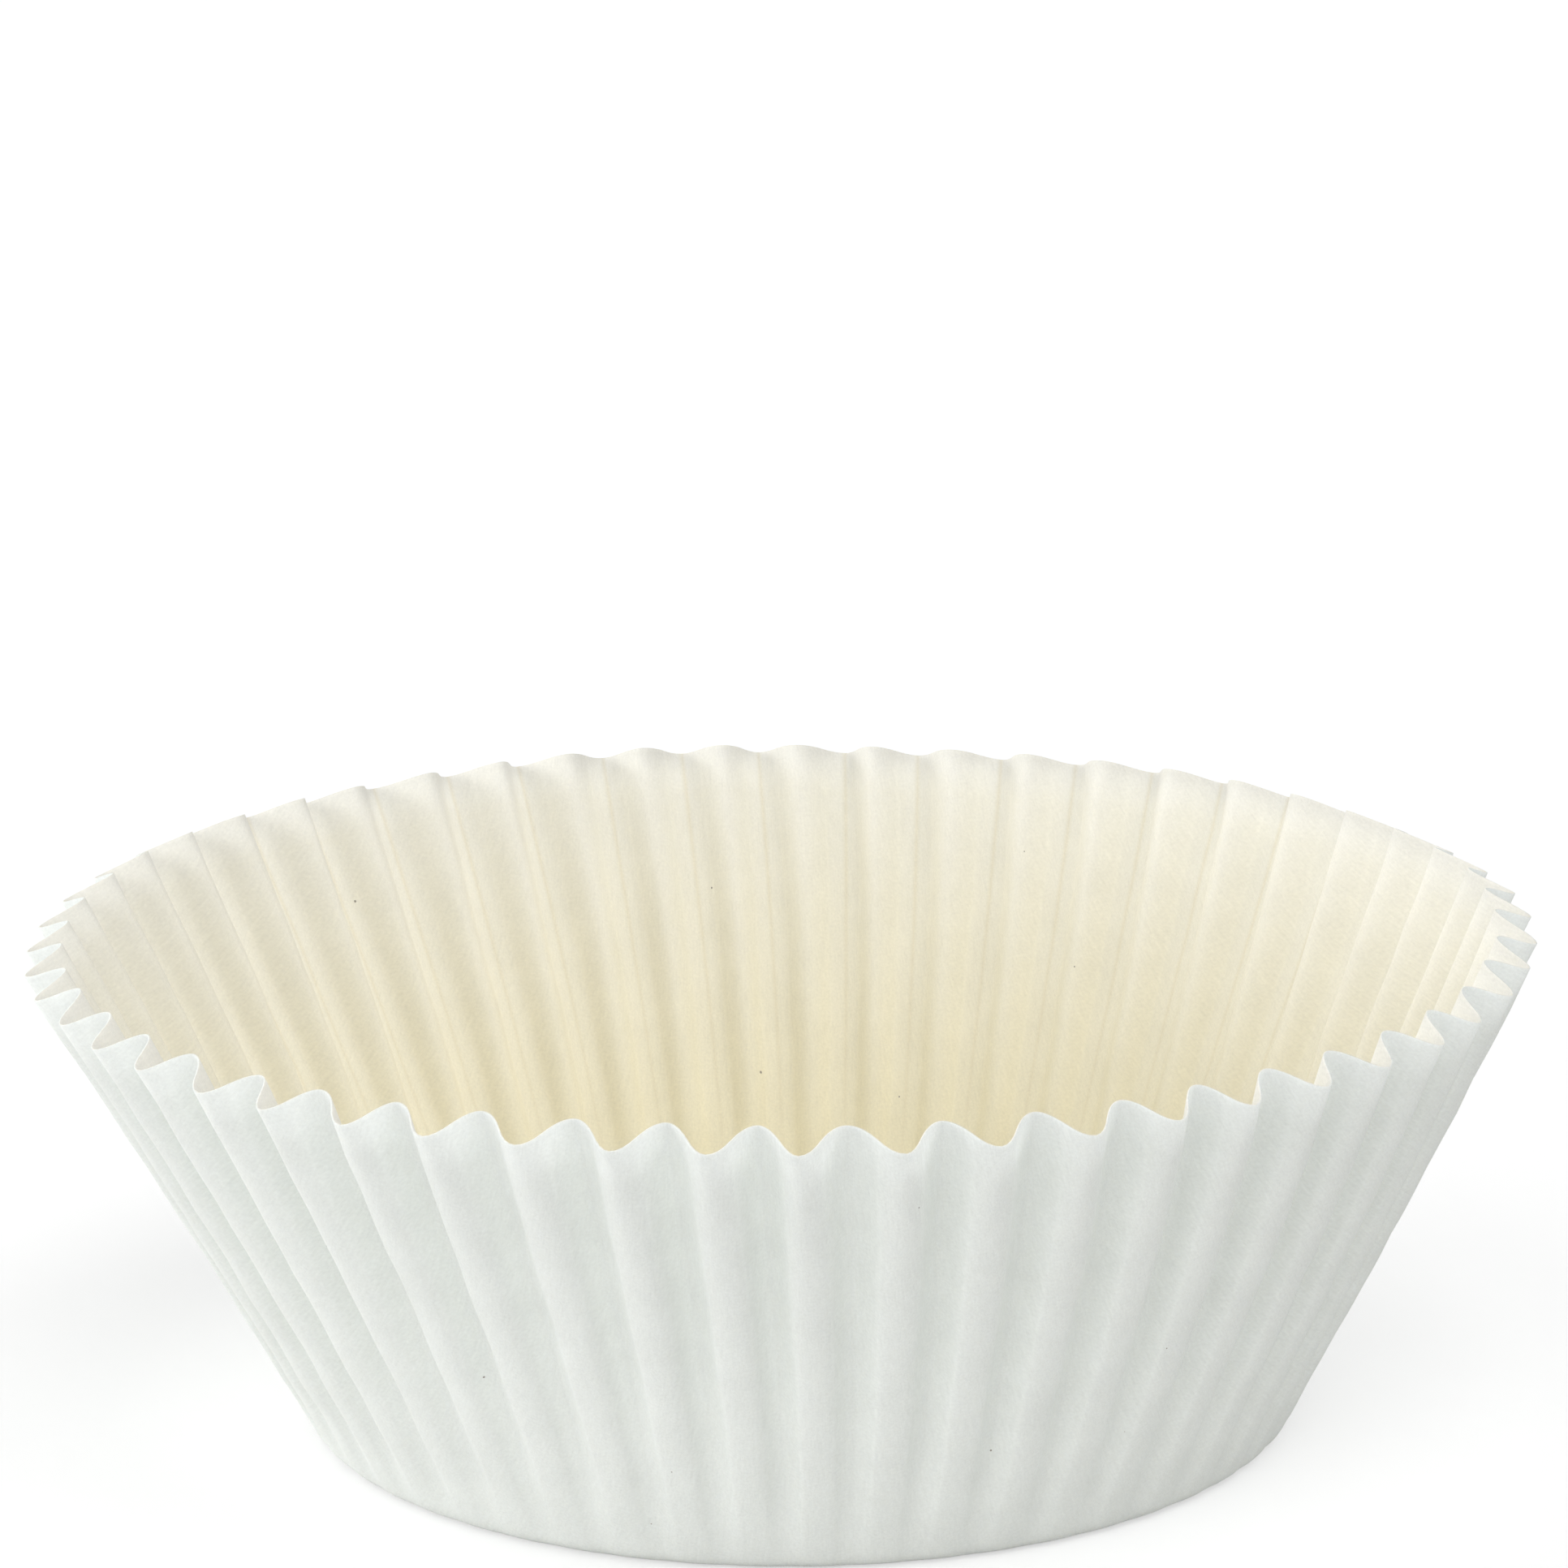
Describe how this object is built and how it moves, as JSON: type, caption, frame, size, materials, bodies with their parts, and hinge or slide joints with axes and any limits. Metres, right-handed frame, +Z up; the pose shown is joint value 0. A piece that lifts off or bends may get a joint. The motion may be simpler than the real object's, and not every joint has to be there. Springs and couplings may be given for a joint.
{
  "type": "cupcake liner",
  "caption": "Thin paper baking cup with a flat round foot and a flared, evenly pleated wall, open at the top.",
  "frame": {"origin": "centre of the flat foot's underside", "axes": "+Z up along the cup's axis, towards the mouth; a pleat's crest lies on +X"},
  "size_m": [0.0816, 0.0816, 0.028],
  "materials": {
    "paper": "matte"
  },
  "bodies": {
    "root": {"liner": "paper"}
  },
  "joints": []
}
